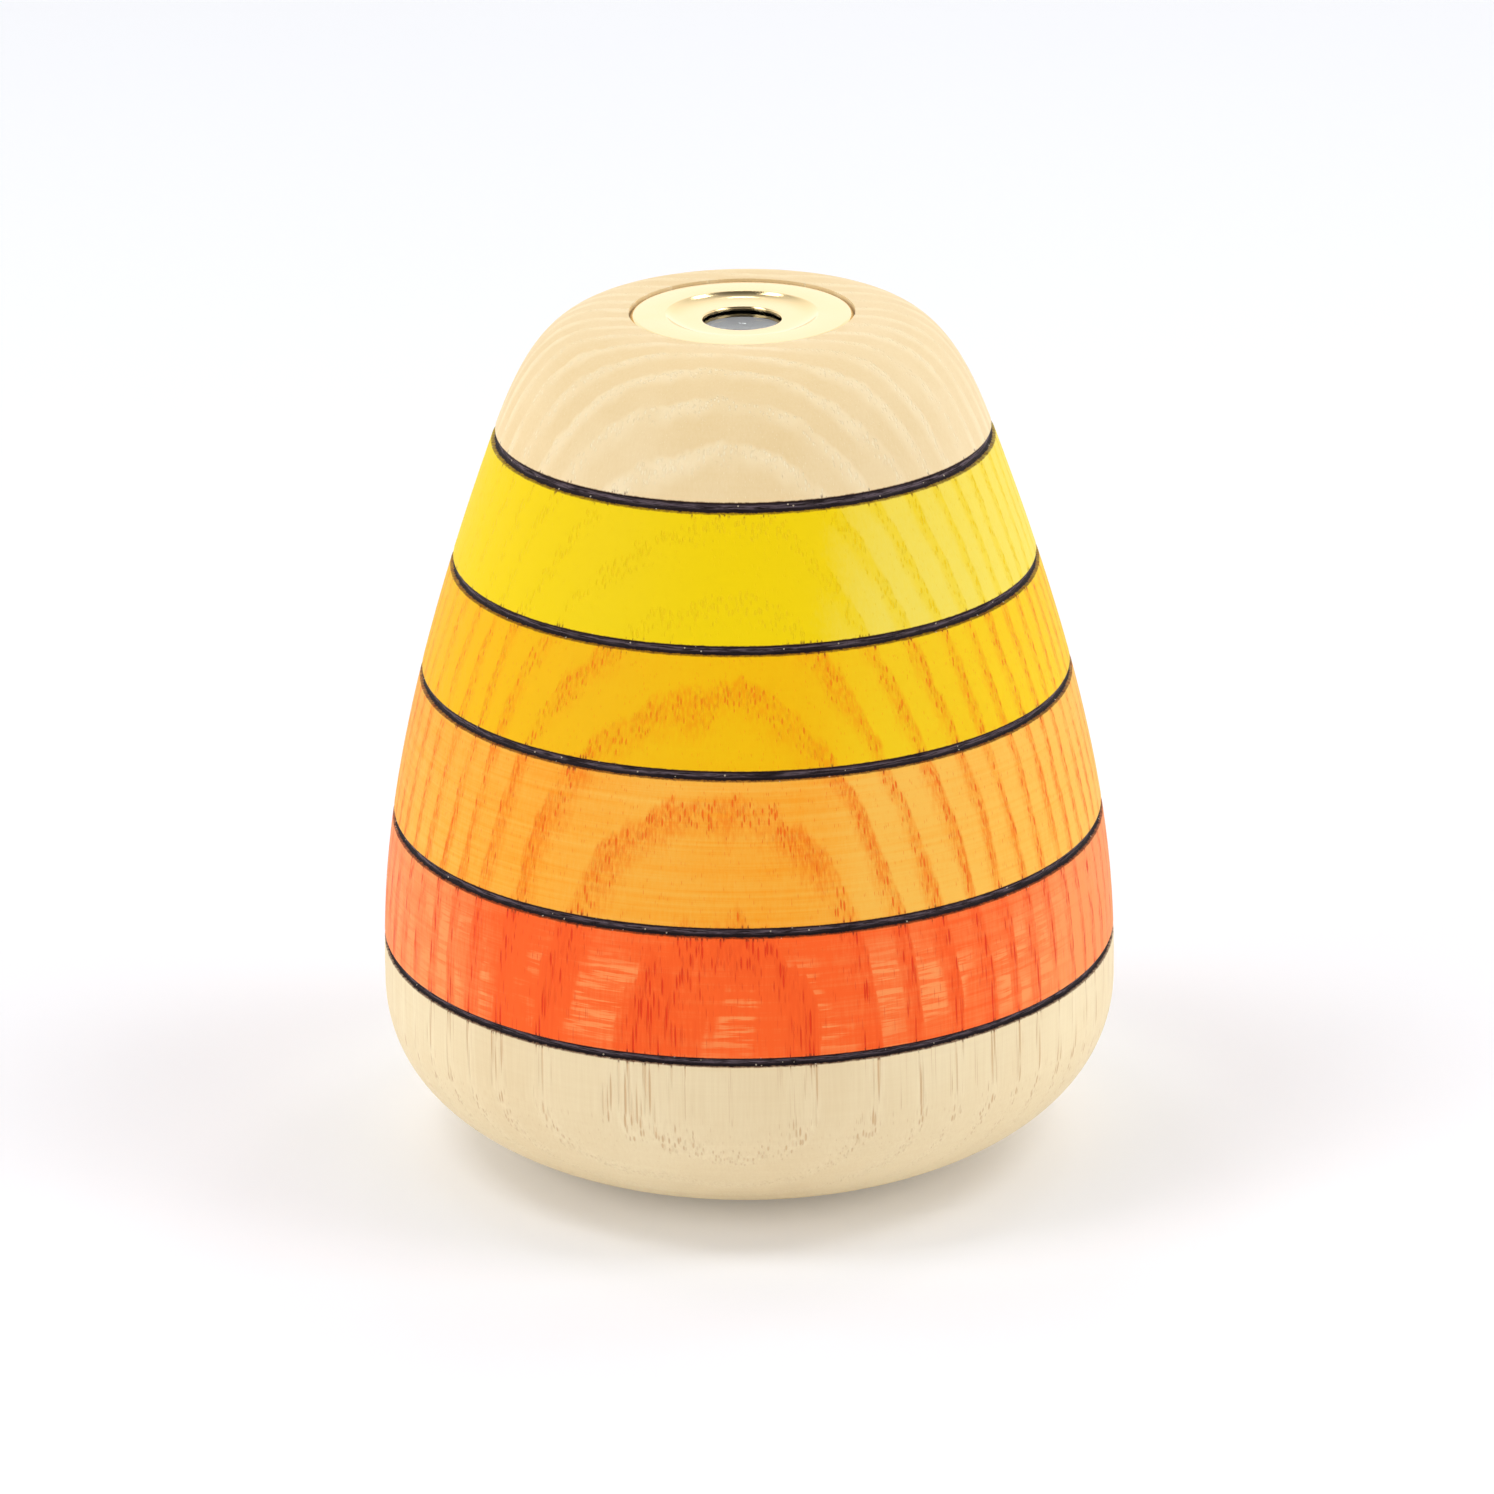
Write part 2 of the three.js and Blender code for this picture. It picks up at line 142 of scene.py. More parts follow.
# From the foot to the crown: stain where the wood takes little, where it takes
# most, and in the open pores; then how much it takes in all, how much more in the
# early wood (0.5 is no more), and how much the band shows of the pores' colour
# spreading round them, of fine turning lines, of pale brush strokes, of its paler
# right-hand side and of a painted sheen on its far sides. Each number is from 0 to 1.
BANDS = (
    {"thin": (243, 226, 187), "full": (226, 201, 157), "pore": (212, 176, 132),
     "take": 0.36, "early": 0.35, "halo": 0.08, "lines": 0.15, "brush": 0.0, "fade": 0.1,
     "rim": 0.1},
    {"thin": (252, 150, 84), "full": (252, 98, 34), "pore": (228, 54, 14),
     "take": 0.78, "early": 0.6, "halo": 0.18, "lines": 0.5, "brush": 1.0, "fade": 0.1,
     "rim": 0.65},
    {"thin": (248, 188, 78), "full": (248, 154, 22), "pore": (240, 100, 8),
     "take": 0.48, "early": 0.62, "halo": 0.4, "lines": 0.6, "brush": 0.2, "fade": 0.35,
     "rim": 0.1},
    {"thin": (243, 204, 14), "full": (241, 183, 0), "pore": (240, 126, 0),
     "take": 0.8, "early": 0.55, "halo": 0.34, "lines": 0.15, "brush": 0.0, "fade": 0.5,
     "rim": 0.0},
    {"thin": (240, 217, 88), "full": (239, 206, 0), "pore": (238, 199, 0),
     "take": 1.0, "early": 0.5, "halo": 0.0, "lines": 0.05, "brush": 0.0, "fade": 0.8,
     "rim": 0.2},
    {"thin": (244, 223, 182), "full": (231, 203, 152), "pore": (246, 228, 190),
     "take": 0.5, "early": 0.2, "halo": 0.25, "lines": 0.1, "brush": 0.0, "fade": 0.1,
     "rim": 0.1},
)
BRUSH_HEIGHT = 24.4  # the middle of the pale strokes in the lowest stained band
BRUSH_REACH = (2.0, 5.5)  # they thin out between these distances from it
PALER_SIDE = (4.0, 13.0)  # the right-hand side pales between these distances from the middle
PAINTED_SHEEN_RIM = (19.0, 31.0)  # and a painted sheen pales the far sides between these
FAINT_PORES = (7.0, 13.0)  # the pores grow faint between these heights, towards the foot

# ---- Colours, from 0 to 255, with two tones where a pattern mixes them --------

# Burnt char; its second, paler tone is a painted highlight along the middle of a groove
CHAR_AND_PAINTED_HIGHLIGHT = ((34, 24, 26), (104, 90, 98))
SCORCH = (104, 52, 26)
SANDING_DUST = (214, 200, 176)
BRASS = ((239, 213, 152), (244, 219, 172))
# Painted shade: near black, for the brass inside the barrel below the lip
BARREL_PAINTED_SHADE = (22, 21, 20)
GLASS = (246, 251, 250)
SILVER = ((226, 230, 232), (240, 242, 243))
STEEL = ((168, 170, 173), (200, 201, 203))
RUBBER = ((24, 24, 26), (34, 34, 37))
CARD = ((14, 14, 14), (30, 29, 28))
FOAM = ((30, 30, 33), (46, 46, 50))
FLOOR = ((239, 240, 244), (241, 242, 246))

# ---- Stage, in metres ----------------------------------------------------------

FLOOR_REACH = 3.0
CAMERA_LENS = 170
CAMERA_RISE = math.radians(20.14)
CAMERA_DISTANCE = 0.641
CAMERA_PIVOT_HEIGHT = 0.040
CAMERA_AIM_HEIGHT = 0.0364
CAMERA_ROLL = math.radians(-0.667)
TENT_OPENING = math.radians(66)
TENT_BRIGHTNESS = 1.38
TENT_COLOUR = (0.98, 0.985, 1.0, 1.0)
# From behind, 0, to the opening, 1: how bright the tent is, as a share
TENT_CURVE = ((0.0, 1.0), (0.3, 1.0), (0.6, 0.84), (0.76, 0.5), (0.88, 0.14), (1.0, 0.05))
LIGHT_TARGET = (0, 0, 0.04)
# Name, place, size and watts
SOFTBOXES = (
    ("left_softbox", (-0.6, -0.4, 0.35), (0.5, 0.5), 1.6),
    ("right_softbox", (0.6, -0.4, 0.35), (0.5, 0.5), 1.35),
    ("high_left_softbox", (-0.42, -0.08, 0.78), (0.26, 0.3), 1.75),
    ("high_right_softbox", (0.48, -0.05, 0.68), (0.26, 0.3), 1.45),
    ("back_left_softbox", (-0.21, 0.25, 0.75), (0.14, 0.14), 0.3),
    ("back_right_softbox", (0.27, 0.31, 0.71), (0.14, 0.14), 0.3),
    ("back_softbox", (0, 0.5, 0.6), (0.07, 0.05), 0.07),
)


# ---- Node helpers ----------------------------------------------------------


def linear(colour):
    """An everyday 0 to 255 colour as the linear colour that a socket takes."""
    def channel(value):
        share = value / 255
        if share <= 0.04045:
            return share / 12.92
        return ((share + 0.055) / 1.055) ** 2.4

    return tuple(channel(value) for value in colour) + (1.0,)


class Graph:
    """A material's node tree, with a short way to add each kind of node."""

    def __init__(self, name):
        self.material = bpy.data.materials.new(name)
        self.material.use_nodes = True
        self.tree = self.material.node_tree
        self.tree.nodes.clear()
        self.output = self.tree.nodes.new("ShaderNodeOutputMaterial")

    def feed(self, socket, value):
        """Links the value to the socket if it is another socket, or else sets it."""
        if isinstance(value, bpy.types.NodeSocket):
            self.tree.links.new(value, socket)
        else:
            socket.default_value = value

    def math(self, operation, *values, clamp=False):
        node = self.tree.nodes.new("ShaderNodeMath")
        node.operation = operation
        node.use_clamp = clamp
        for socket, value in zip(node.inputs, values):
            self.feed(socket, value)
        return node.outputs[0]

    def position(self):
        """The point's x, y and z in the object's frame, in millimetres."""
        where = self.tree.nodes.new("ShaderNodeTexCoord").outputs["Object"]
        split = self.tree.nodes.new("ShaderNodeSeparateXYZ")
        self.feed(split.inputs[0], where)
        return [self.math("MULTIPLY", axis, 1 / MM) for axis in split.outputs]

    def radius(self, point):
        """The point's distance from the object's axis."""
        squares = [self.math("MULTIPLY", axis, axis) for axis in point[:2]]
        return self.math("SQRT", self.math("ADD", *squares))

    def vector(self, x, y, z):
        node = self.tree.nodes.new("ShaderNodeCombineXYZ")
        for socket, value in zip(node.inputs, (x, y, z)):
            self.feed(socket, value)
        return node.outputs[0]

    def stretched(self, point, rates):
        """The point with each axis multiplied, to stretch a pattern along an axis."""
        return self.vector(*(self.math("MULTIPLY", a, r) for a, r in zip(point, rates)))

    def noise(self, vector, detail=2.0, roughness=0.5):
        node = self.tree.nodes.new("ShaderNodeTexNoise")
        self.feed(node.inputs["Vector"], vector)
        node.inputs["Scale"].default_value = 1.0
        node.inputs["Detail"].default_value = detail
        node.inputs["Roughness"].default_value = roughness
        return node.outputs[0]

    def cells(self, vector):
        """Distance to the nearest of many scattered points, and a random number for it."""
        node = self.tree.nodes.new("ShaderNodeTexVoronoi")
        self.feed(node.inputs["Vector"], vector)
        node.inputs["Scale"].default_value = 1.0
        split = self.tree.nodes.new("ShaderNodeSeparateXYZ")
        self.feed(split.inputs[0], node.outputs["Color"])
        return node.outputs["Distance"], split.outputs[0]

    def span(self, value, low, high, to_low=0.0, to_high=1.0):
        """The value's place between low and high, eased, as one between two others."""
        node = self.tree.nodes.new("ShaderNodeMapRange")
        node.interpolation_type = "SMOOTHSTEP"
        for socket, number in zip(node.inputs, (value, low, high, to_low, to_high)):
            self.feed(socket, number)
        return node.outputs[0]

    def sway(self, value, pattern, size, middle=0.5):
        """The value plus size times how far the pattern is above its middle."""
        return self.math("MULTIPLY_ADD", self.math("SUBTRACT", pattern, middle), size, value)

    def mix(self, share, first, second):
        """From the first colour at 0 to the second at 1."""
        node = self.tree.nodes.new("ShaderNodeMix")
        node.data_type = "RGBA"
        self.feed(node.inputs[0], share)
        self.feed(node.inputs[6], first)
        self.feed(node.inputs[7], second)
        return node.outputs[2]

    def tones(self, share, pair):
        """The same for a pair of everyday colours."""
        return self.mix(share, linear(pair[0]), linear(pair[1]))

    def steps(self, share, places, colours):
        """A colour that changes at once at each place, the first one from 0."""
        node = self.tree.nodes.new("ShaderNodeValToRGB")
        ramp = node.color_ramp
        ramp.interpolation = "CONSTANT"
        while len(ramp.elements) < len(colours):
            ramp.elements.new(0.5)
        for element, place, colour in zip(ramp.elements, (0.0, *places), colours):
            element.position = place
            element.color = colour
        self.feed(node.inputs[0], share)
        return node.outputs[0]

    def bump(self, height, distance, strength):
        node = self.tree.nodes.new("ShaderNodeBump")
        node.inputs["Strength"].default_value = strength
        node.inputs["Distance"].default_value = distance
        self.feed(node.inputs["Height"], height)
        return node.outputs[0]

    def surface(self, **values):
        """Ends the material in a principled shader; underscores stand for spaces."""
        shader = self.tree.nodes.new("ShaderNodeBsdfPrincipled")
        for name, value in values.items():
            self.feed(shader.inputs[name.replace("_", " ")], value)
        self.tree.links.new(shader.outputs[0], self.output.inputs["Surface"])
        return self.material


# ---- Stained wood ------------------------------------------------------------


def grain(g, point):
    """The wood's own pattern, from 0 to 1: early wood, its open pores with a random
    number for each, the hair-fine pores of the late wood, and fibres."""
    x, y, z = point
    drift = g.noise(g.stretched(point, DRIFT_RATES), detail=1.5)
    bend = g.noise(g.stretched(point, BEND_RATES), detail=1.0)
    rough = g.noise(g.stretched(point, ROUGH_RATES), detail=2.0)
    depth = g.math("MULTIPLY_ADD", x, -math.sin(RING_TURN),
                   -RING_START - (RING_DRIFT + RING_BEND + RING_ROUGH) / 2)
    depth = g.math("MULTIPLY_ADD", y, -math.cos(RING_TURN), depth)
    for wave, size in ((drift, RING_DRIFT), (bend, RING_BEND), (rough, RING_ROUGH)):
        depth = g.math("MULTIPLY_ADD", wave, size, depth)
    year = g.math("FRACT", g.math("DIVIDE", depth, RING_SPACING))
    early = g.math("MULTIPLY", g.span(year, 0.0, 0.12), g.span(year, 0.2, 0.6, 1.0, 0.0))

    wander = g.math("MULTIPLY_ADD", drift, PORE_WANDER, x)
    below = g.math("MAXIMUM", g.math("SUBTRACT", LONG_PORES_BELOW, z), 0.0)
    along = (wander, y, g.math("MULTIPLY_ADD", below, LONG_PORES_STRETCH, z))
    distance, which = g.cells(g.stretched(along, PORE_RATES))
    reach = g.math("MULTIPLY_ADD", early, 0.38, 0.08)
    pores = g.math("MULTIPLY", g.math("SUBTRACT", reach, distance), 5.5, clamp=True)
    distance, odd = g.cells(g.stretched(along, HAIR_RATES))
    hairs = g.math("MULTIPLY", g.math("SUBTRACT", 0.28, distance), 7.0, clamp=True)
    hairs = g.math("MULTIPLY", hairs, g.span(odd, 0.4, 0.9))
    fibres = g.noise(g.stretched(point, FIBRE_RATES), detail=3.0, roughness=0.6)
    return {"early": early, "pores": pores, "which": which, "hairs": hairs,
            "fibres": fibres}


def by_band(g, height, key):
    """The band's value for that key, at the point's share of the body's height."""
    places = [groove / BODY_HEIGHT for groove in GROOVE_HEIGHTS]
    values = [band[key] for band in BANDS]
    if isinstance(values[0], tuple):
        return g.steps(height, places, [linear(value) for value in values])
    return g.steps(height, places, [(v, v, v, 1.0) for v in values])


def groove_distance(g, z):
    """How far the point is from the nearest groove's middle, in half widths."""
    nearest = None
    for height, width in zip(GROOVE_HEIGHTS, GROOVE_WIDTHS):
        lean = math.atan(outline_slope(height))
        reach = width / 2 * math.cos(lean)
        offset = g.math("MULTIPLY", g.math("SUBTRACT", z, height), 1 / reach)
        offset = g.math("ABSOLUTE", offset)
        nearest = offset if nearest is None else g.math("MINIMUM", nearest, offset)
    return nearest


def brushed(g, point, wood, patches):
    """Short pale strokes round the body, in the late wood and near one height."""
    strokes = g.noise(g.stretched(point, STROKE_RATES), detail=2.0, roughness=0.6)
    bare = g.math("MULTIPLY", g.span(strokes, 0.44, 0.58), g.span(patches, 0.38, 0.54))
    bare = g.math("MULTIPLY", bare, g.span(wood["early"], 0.0, 0.35, 1.0, 0.0))
    away = g.math("ABSOLUTE", g.math("SUBTRACT", point[2], BRUSH_HEIGHT))
    return g.math("MULTIPLY", bare, g.span(away, *BRUSH_REACH, 1.0, 0.1))


def stain_coverage(g, point, band, wood, lines, patches):
    """How much stain shows, from 0 to 1: what the wood has taken up, paler towards the
    right-hand side, and paled on the far sides by a painted sheen.
    """
    lift = g.math("SUBTRACT", band["early"], 0.5)
    lift = g.math("MULTIPLY", lift, g.span(patches, 0.35, 0.6, 0.4, 1.4))
    coverage = g.sway(band["take"], wood["early"], lift, middle=0.3)
    blotch = g.noise(g.stretched(point, BLOTCH_RATES), detail=2.0)
    coverage = g.sway(coverage, blotch, 0.6)
    coverage = g.sway(coverage, lines, g.math("MULTIPLY", band["lines"], 1.6))

    side = g.span(point[0], *PALER_SIDE, 0.0, 1.1)
    side = g.math("MULTIPLY", side, g.span(wood["early"], 0.0, 1.0, 1.0, 0.55))
    side = g.math("MULTIPLY", side, band["fade"])
    # Painted sheen: the far sides are paled as if they caught a grazing reflection
    rim = g.span(g.math("ABSOLUTE", point[0]), *PAINTED_SHEEN_RIM)
    rim = g.math("MULTIPLY", rim, band["rim"])
    for paler in (side, rim):
        coverage = g.math("SUBTRACT", coverage, paler)

    brush = g.math("MULTIPLY", brushed(g, point, wood, patches), band["brush"])
    coverage = g.math("MULTIPLY_ADD", brush, -0.6, coverage)
    coverage = g.sway(coverage, wood["fibres"], 0.4)
    return g.math("MULTIPLY", coverage, 1.25, clamp=True)


def pore_stain(g, point, band, wood, patches):
    """How much of the pores' own colour shows: in them, and spread round them."""
    deep = g.math("MULTIPLY", wood["pores"], g.span(wood["which"], 0.1, 0.7, 0.3, 0.9))
    deep = g.math("MAXIMUM", deep, g.math("MULTIPLY", wood["hairs"], 0.5))
    deep = g.math("MULTIPLY", deep, g.span(point[2], *FAINT_PORES, 0.25, 1.0))
    halo = g.math("MULTIPLY", wood["early"], g.span(patches, 0.3, 0.6, 0.3, 1.0))
    halo = g.math("MULTIPLY", halo, g.span(wood["fibres"], 0.35, 0.65, 0.2, 1.6))
    halo = g.math("MULTIPLY", halo, band["halo"])
    return g.math("MAXIMUM", deep, halo)


def scorched(g, point, wood, colour):
    """The colour with charred grooves, singed edges, a painted highlight streak along each
    groove's middle and a few specks of dust; then where it is charred, and the pattern of the
    soot."""
    ragged = g.noise(g.stretched(point, RAGGED_RATES), detail=3.0, roughness=0.7)
    middle = groove_distance(g, point[2])
    edge = g.sway(middle, ragged, 0.42)
    singed = g.math("MULTIPLY", wood["pores"], g.span(edge, 1.1, 2.0, 0.8, 0.0))
    singed = g.math("MAXIMUM", singed, g.span(edge, 0.98, 1.28, 0.8, 0.0))
    colour = g.mix(singed, colour, linear(SCORCH))

    burnt = g.span(edge, 0.90, 1.04, 1.0, 0.0)
    soot = g.noise(g.stretched(point, SOOT_RATES), detail=3.0, roughness=0.7)
    # Painted highlight: a paler streak along the middle of each groove, where light would catch
    # its floor
    painted_highlight = g.math("MULTIPLY", g.span(soot, 0.40, 0.60), g.span(middle, 0.15, 0.7, 1.0, 0.0))
    colour = g.mix(burnt, colour, g.tones(painted_highlight, CHAR_AND_PAINTED_HIGHLIGHT))

    speck, pick = g.cells(g.stretched(point, SPECK_RATES))
    dust = g.math("MULTIPLY", g.math("LESS_THAN", speck, 0.17),
                  g.math("GREATER_THAN", pick, 0.86))
    dust = g.math("MULTIPLY", dust, g.span(edge, 1.0, 1.3, 0.8, 0.0))
    return g.mix(dust, colour, linear(SANDING_DUST)), burnt, soot


def stained_ash():
    """Ash stained in bands, with scorched grooves, under thin oil."""
    g = Graph("stained_ash")
    point = g.position()
    height = g.math("DIVIDE", point[2], BODY_HEIGHT)
    band = {key: by_band(g, height, key) for key in BANDS[0]}
    wood = grain(g, point)
    lines = g.noise(g.stretched(point, LINE_RATES), detail=3.0, roughness=0.7)
    patches = g.noise(g.stretched(point, PATCH_RATES), detail=1.0)

    coverage = stain_coverage(g, point, band, wood, lines, patches)
    colour = g.mix(coverage, band["thin"], band["full"])
    colour = g.mix(pore_stain(g, point, band, wood, patches), colour, band["pore"])
    colour, burnt, soot = scorched(g, point, wood, colour)

    relief = g.math("MULTIPLY", wood["pores"], -1.0)
    for pattern, share in ((wood["hairs"], -0.4), (wood["fibres"], 0.22), (lines, 0.25)):
        relief = g.math("MULTIPLY_ADD", pattern, share, relief)
    relief = g.math("MULTIPLY_ADD", g.math("MULTIPLY", soot, burnt), 0.9, relief)
    rough = g.span(wood["fibres"], 0.3, 0.7, 0.46, 0.58)
    rough = g.math("MULTIPLY_ADD", burnt, 0.12, rough)
    return g.surface(Base_Color=colour, Roughness=rough, Specular_IOR_Level=0.12,
                     Normal=g.bump(relief, 0.06 * MM, 0.7))


# ---- Other materials ---------------------------------------------------------


def polished_brass():
    """Lathe-polished brass with faint turning lines; inside the barrel it is painted black as
    painted shade.
    """
    g = Graph("polished_brass")
    point = g.position()
    radius = g.radius(point)
    rings = g.noise(g.stretched((radius, 0.0, point[2]), (9.0, 9.0, 9.0)), detail=3.0)
    cloud = g.noise(g.stretched(point, (0.3, 0.3, 0.3)), detail=3.0)
    # Painted shade: inside the barrel and below the lip the brass is dark and not metallic, to
    # darken the view through the eye lens
    bare = g.math("MAXIMUM", g.math("GREATER_THAN", point[2], LIP_BOTTOM),
                  g.math("GREATER_THAN", radius, BARREL_INSIDE))
    colour = g.mix(bare, linear(BARREL_PAINTED_SHADE), g.tones(cloud, BRASS))
    rough = g.math("SUBTRACT", g.span(cloud, 0.3, 0.7, 0.70, 0.78),
                   g.math("MULTIPLY", bare, 0.6))
    return g.surface(Base_Color=colour, Metallic=bare, Roughness=rough,
                     Normal=g.bump(rings, 0.004 * MM, 0.5))


def lens_glass():
    """Clear glass, a little dusty."""
    g = Graph("lens_glass")
    dust = g.noise(g.stretched(g.position(), (1.5, 1.5, 1.5)), detail=4.0)
    return g.surface(Base_Color=linear(GLASS), Transmission_Weight=1.0,
                     IOR=1.52, Roughness=g.span(dust, 0.5, 0.8, 0.0, 0.05))


def silvered_glass():
    """A mirror with a faint film of dust on it."""
    g = Graph("silvered_glass")
    film = g.noise(g.stretched(g.position(), (0.5, 0.5, 0.1)), detail=4.0)
    return g.surface(Base_Color=g.tones(film, SILVER), Metallic=1.0,
                     Roughness=g.span(film, 0.4, 0.8, 0.02, 0.06))


def spring_steel():
    """Drawn wire, with lines along its length."""
    g = Graph("spring_steel")
    drawn = g.noise(g.vector(g.math("MULTIPLY", g.radius(g.position()), 14.0), 0.0, 0.0),
                    detail=3.0)
    return g.surface(Base_Color=g.tones(drawn, STEEL), Metallic=1.0,
                     Roughness=g.span(drawn, 0.3, 0.7, 0.22, 0.34))


def black_stuff(name, pair, rate, roughness, relief):
    """Card or rubber: black, with a finely speckled surface."""
    g = Graph(name)
    felt = g.noise(g.stretched(g.position(), (rate, rate, rate)), detail=5.0, roughness=0.65)
    colour = g.tones(g.span(felt, 0.35, 0.65), pair)
    return g.surface(Base_Color=colour, Specular_IOR_Level=0.3,
                     Roughness=g.span(felt, 0.3, 0.7, roughness, roughness + 0.1),
                     Normal=g.bump(felt, relief * MM, 0.8))


def black_foam():
    """Closed-cell foam: small round cells."""
    g = Graph("black_foam")
    cell, which = g.cells(g.stretched(g.position(), (3.0, 3.0, 3.0)))
    return g.surface(Base_Color=g.tones(which, FOAM), Specular_IOR_Level=0.25,
                     Roughness=g.span(cell, 0.0, 0.6, 0.95, 0.8),
                     Normal=g.bump(cell, 0.15 * MM, 0.9))


def glowing_pale_floor():
    """A plain pale studio surface that glows as painted light, more strongly away from the
    object.
    """
    g = Graph("glowing_pale_floor")
    point = g.position()
    tone = g.noise(g.stretched(point, (0.004, 0.004, 0.004)), detail=2.0)
    # Painted light: the floor glows, from 0.09 near the object to 0.2 far away, which lifts its
    # shadow
    return g.surface(Base_Color=g.tones(tone, FLOOR), Roughness=0.9,
                     Specular_IOR_Level=0.1, Emission_Color=(1, 1, 1, 1),
                     Emission_Strength=g.span(g.radius(point), 60, 600, 0.09, 0.2))


# ---- Mesh helpers ----------------------------------------------------------


def add_piece(name, vertices, faces, material, replaced, smooth=40):
    """A closed mesh that stands for CAD nodes. Vertices in millimetres."""
    mesh = bpy.data.meshes.new(name)
    mesh.from_pydata([tuple(c * MM for c in v) for v in vertices], [], faces)
    work = bmesh.new()
    work.from_mesh(mesh)
    bmesh.ops.recalc_face_normals(work, faces=work.faces)
    work.to_mesh(mesh)
    work.free()
    mesh.shade_smooth()
    mesh.set_sharp_from_angle(angle=math.radians(smooth))
    mesh.materials.append(material)
    piece = bpy.data.objects.new(name, mesh)
    bpy.context.scene.collection.objects.link(piece)
    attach(piece, "root")
    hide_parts(*replaced)


def lathe(profile, segments, wobble=None):
    """Vertices and faces of a body of revolution whose profile closes on itself.

    wobble moves a ring of points in or out: it is given the profile's index and
    the turn's angle, and returns millimetres.
    """
    count = len(profile)
    vertices = []
    for i in range(segments):
        angle = 2 * math.pi * i / segments
        for k, (radius, height) in enumerate(profile):
            if wobble is not None:
                radius += wobble(k, angle)
            vertices.append((radius * math.cos(angle), radius * math.sin(angle), height))
    faces = []
    for i in range(segments):
        here = i * count
        there = (i + 1) % segments * count
        for k in range(count):
            onward = (k + 1) % count
            faces.append((here + k, there + k, there + onward, here + onward))
    return vertices, faces


def capped_lathe(profile, segments):
    """The same for a profile that starts and ends on the axis."""
    inner = profile[1:-1]
    count = len(inner)
    vertices = [(0, 0, profile[0][1]), (0, 0, profile[-1][1])]
    for i in range(segments):
        angle = 2 * math.pi * i / segments
        vertices += [(r * math.cos(angle), r * math.sin(angle), h) for r, h in inner]
    faces = []
    for i in range(segments):
        here = 2 + i * count
        there = 2 + (i + 1) % segments * count
        faces.append((0, there, here))
        faces.append((1, here + count - 1, there + count - 1))
        faces += [(here + k, there + k, there + k + 1, here + k + 1)
                  for k in range(count - 1)]
    return vertices, faces


def rounded(profile, radius, steps=4, closed=True):
    """The profile with its corners rounded, so that an edge catches the light."""
    points = [Vector(p) for p in profile]
    result = []
    for i, corner in enumerate(points):
        if not closed and i in (0, len(points) - 1):
            result.append(tuple(corner))
            continue
        before = points[i - 1] - corner
        after = points[(i + 1) % len(points)] - corner
        if before.angle(after) > math.radians(160):
            result.append(tuple(corner))
            continue
        reach = min(radius, 0.4 * before.length, 0.4 * after.length)
        start = corner + before.normalized() * reach
        end = corner + after.normalized() * reach
        for step in range(steps + 1):
            t = step / steps
            result.append(tuple(start * (1 - t) ** 2 + corner * 2 * t * (1 - t) + end * t ** 2))
    return result


# ---- Body ------------------------------------------------------------------


def eased_curve(start, leaving, end, arriving, share):
    """Points of a cubic curve that leaves and arrives along given directions."""
    start, end = Vector(start), Vector(end)
    chord = (end - start).length
    first = start + Vector(leaving) * share[0] * chord
    second = end - Vector(arriving) * share[1] * chord
    points = []
    for step in range(CURVE_STEPS + 1):
        t = step / CURVE_STEPS
        points.append(start * (1 - t) ** 3 + first * 3 * t * (1 - t) ** 2
                      + second * 3 * t * t * (1 - t) + end * t ** 3)
    return points


def body_outline():
    """The outside from foot to crown as closely spaced (radius, height) points."""
    flank = (-math.sin(SHOULDER_LEAN), math.cos(SHOULDER_LEAN))
    foot = (FOOT_RADIUS, 0)
    belly = (BODY_RADIUS, WIDEST_HEIGHT)
    shoulder = (SHOULDER_RADIUS, BODY_HEIGHT - SHOULDER_DROP)
    crown = (CROWN_RADIUS, BODY_HEIGHT)
    curves = [
        eased_curve(foot, (1, 0), belly, (0, 1), FOOT_CURVE),
        eased_curve(belly, (0, 1), shoulder, flank, FLANK_CURVE),
        eased_curve(shoulder, flank, crown, (-1, 0), CROWN_CURVE),
    ]
    return np.array(curves[0] + curves[1][1:] + curves[2][1:])


OUTLINE = body_outline()


def outline_slope(height):
    """How much the outline's radius falls for each millimetre of height."""
    low, high = np.interp([height - 0.5, height + 0.5], OUTLINE[:, 1], OUTLINE[:, 0])
    return low - high


def groove_shape(offset, width):
    """Depth of a groove that far from its middle: round-bottomed, with soft lips."""
    share = abs(offset) / (width / 2)
    if share < GROOVE_FLOOR:
        return GROOVE_DEPTH * (1 - GROOVE_ROUND * (share / GROOVE_FLOOR) ** 2)
    if share < GROOVE_LIP:
        fall = (GROOVE_LIP - share) / (GROOVE_LIP - GROOVE_FLOOR)
        return GROOVE_DEPTH * (1 - GROOVE_ROUND) * fall * fall * (3 - 2 * fall)
    return 0.0


